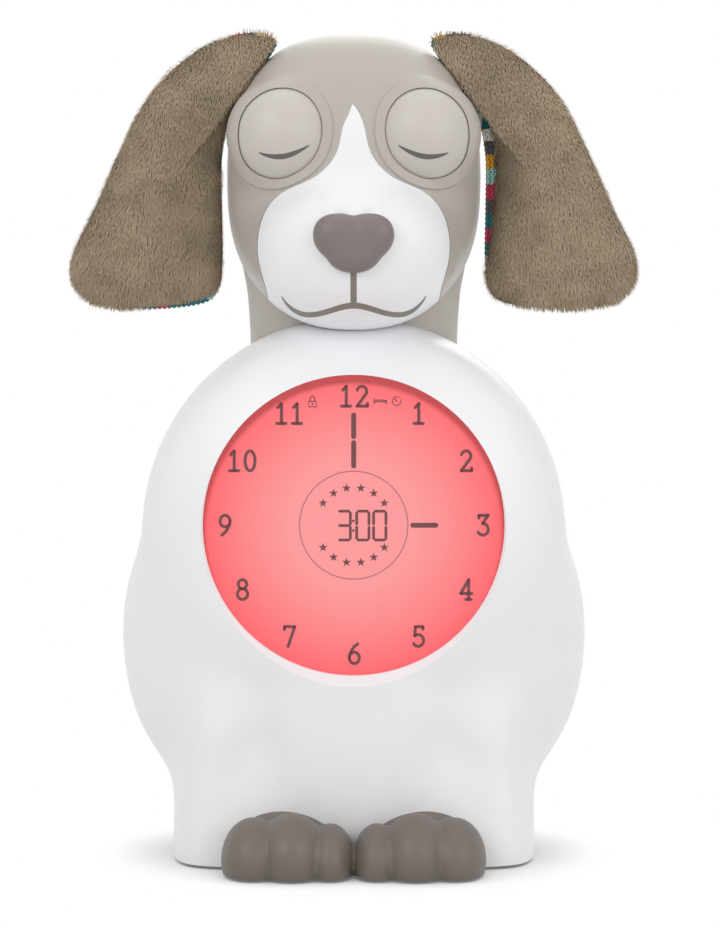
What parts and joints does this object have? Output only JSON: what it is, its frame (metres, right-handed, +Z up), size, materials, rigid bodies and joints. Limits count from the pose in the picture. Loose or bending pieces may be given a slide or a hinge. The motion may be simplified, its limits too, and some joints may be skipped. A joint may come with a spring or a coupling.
{
  "type": "kids alarm clock with night light",
  "caption": "Bedside alarm clock and night light shaped like a sitting dog, with a round lit dial, turning eyes and lifting plush ears.",
  "frame": {"origin": "middle of the footprint on the surface that the rubber feet stand on", "axes": "+Z up, the dial faces -Y, +X is to the right as the dial is seen"},
  "size_m": [0.1748, 0.1063, 0.2537],
  "materials": {
    "white_shell": "satin moulded ABS",
    "beige_shell": "satin moulded ABS",
    "lid_plastic": "satin moulded ABS",
    "taupe_plastic": "satin moulded ABS",
    "mouth_plastic": "matt inlay",
    "eye_white": "gloss",
    "iris_plastic": "gloss",
    "plush": "short pile plush",
    "knit": "multicolour knit",
    "clear_lens": "clear acrylic",
    "lcd": "backlit liquid crystal panel",
    "diffuser": "milky acrylic",
    "leds": "gloss",
    "frame_plastic": "matt ABS",
    "pcb": "glass fibre board",
    "chips": "matt",
    "ribbon": "polyimide film",
    "keys": "satin",
    "rubber": "matt",
    "steel": "plain",
    "gear_plastic": "acetal",
    "cone_paper": "film",
    "cells": "plain sleeve"
  },
  "bodies": {
    "case": {"backlight_leds": "leds", "base_plate": "white_shell", "base_screws": "steel", "battery_cells": "cells", "battery_contacts": "steel", "board_header": "frame_plastic", "board_parts": "chips", "body_front_shell": "white_shell", "body_rear_shell": "white_shell", "case_screws": "steel", "control_panel": "white_shell", "display_frame": "frame_plastic", "display_lens": "clear_lens", "display_ribbon": "ribbon", "display_screws": "steel", "drive_frame": "frame_plastic", "drive_motor": "steel", "face_mask": "white_shell", "front_paws": "taupe_plastic", "head_front_shell": "beige_shell", "head_rear_shell": "beige_shell", "head_screws": "steel", "idler_pin": "steel", "key_board": "pcb", "key_switches": "chips", "lcd_panel": "lcd", "led_board": "pcb", "light_diffuser": "diffuser", "main_board": "pcb", "mouth_line": "mouth_plastic", "neck_tube": "beige_shell", "nose": "taupe_plastic", "power_socket": "chips", "rubber_feet": "rubber", "speaker_basket": "steel", "speaker_cone": "cone_paper"},
    "eyes": {"eye_axle": "steel", "eyeball_left": "eye_white", "eyeball_right": "eye_white", "eyelid_left": "lid_plastic", "eyelid_right": "lid_plastic", "eye_gear": "gear_plastic", "eye_lashes": "mouth_plastic", "eye_irises": "iris_plastic"},
    "idler": {"idler_gear": "gear_plastic"},
    "pinion": {"motor_pinion": "gear_plastic"},
    "ear_left": {"ear_left_plush": "plush", "ear_left_lining": "knit"},
    "ear_right": {"ear_right_plush": "plush", "ear_right_lining": "knit"},
    "battery_cover": {"battery_door": "white_shell", "door_screw": "steel"},
    "key_light": {"key_light": "keys"},
    "key_clock": {"key_clock": "keys"},
    "key_alarm": {"key_alarm": "keys"},
    "key_plus": {"key_plus": "keys"},
    "key_minus": {"key_minus": "keys"},
    "key_sound": {"key_sound": "keys"},
    "key_lock": {"key_lock": "keys"}
  },
  "joints": [
    {"name": "eyes_turn", "type": "hinge", "parent": "case", "child": "eyes", "pos_m": [0, -0.0174, 0.222], "axis": [-1, 0, 0], "range_deg": [0, 125]},
    {"name": "idler_turn", "type": "hinge", "parent": "case", "child": "idler", "pos_m": [0, -0.0018, 0.222], "axis": [-1, 0, 0], "range_deg": [-80.6, 0.05]},
    {"name": "pinion_turn", "type": "hinge", "parent": "case", "child": "pinion", "pos_m": [0, 0.0126, 0.222], "axis": [-1, 0, 0], "range_deg": [-0.05, 161.2]},
    {"name": "ear_left_lift", "type": "hinge", "parent": "case", "child": "ear_left", "pos_m": [-0.026, 0.002, 0.249], "axis": [0, 1, 0], "range_deg": [0, 60]},
    {"name": "ear_right_lift", "type": "hinge", "parent": "case", "child": "ear_right", "pos_m": [0.026, 0.002, 0.249], "axis": [0, -1, 0], "range_deg": [0, 60]},
    {"name": "battery_door_swing", "type": "hinge", "parent": "case", "child": "battery_cover", "pos_m": [0, 0.05111, 0.047], "axis": [1, 0, 0], "range_deg": [0, 75]},
    {"name": "key_light_press", "type": "slide", "parent": "case", "child": "key_light", "axis": [0, -1, 0], "range_m": [0, 0.0005], "stiffness_N_per_m": 400},
    {"name": "key_clock_press", "type": "slide", "parent": "case", "child": "key_clock", "axis": [0, -1, 0], "range_m": [0, 0.0005], "stiffness_N_per_m": 400},
    {"name": "key_alarm_press", "type": "slide", "parent": "case", "child": "key_alarm", "axis": [0, -1, 0], "range_m": [0, 0.0005], "stiffness_N_per_m": 400},
    {"name": "key_plus_press", "type": "slide", "parent": "case", "child": "key_plus", "axis": [0, -1, 0], "range_m": [0, 0.0005], "stiffness_N_per_m": 400},
    {"name": "key_minus_press", "type": "slide", "parent": "case", "child": "key_minus", "axis": [0, -1, 0], "range_m": [0, 0.0005], "stiffness_N_per_m": 400},
    {"name": "key_sound_press", "type": "slide", "parent": "case", "child": "key_sound", "axis": [0, -1, 0], "range_m": [0, 0.0005], "stiffness_N_per_m": 400},
    {"name": "key_lock_press", "type": "slide", "parent": "case", "child": "key_lock", "axis": [0, -1, 0], "range_m": [0, 0.0005], "stiffness_N_per_m": 400}
  ],
  "couplings": [
    {"joint": "idler_turn", "follows": "eyes_turn", "ratio": -0.625},
    {"joint": "pinion_turn", "follows": "eyes_turn", "ratio": 1.25}
  ]
}
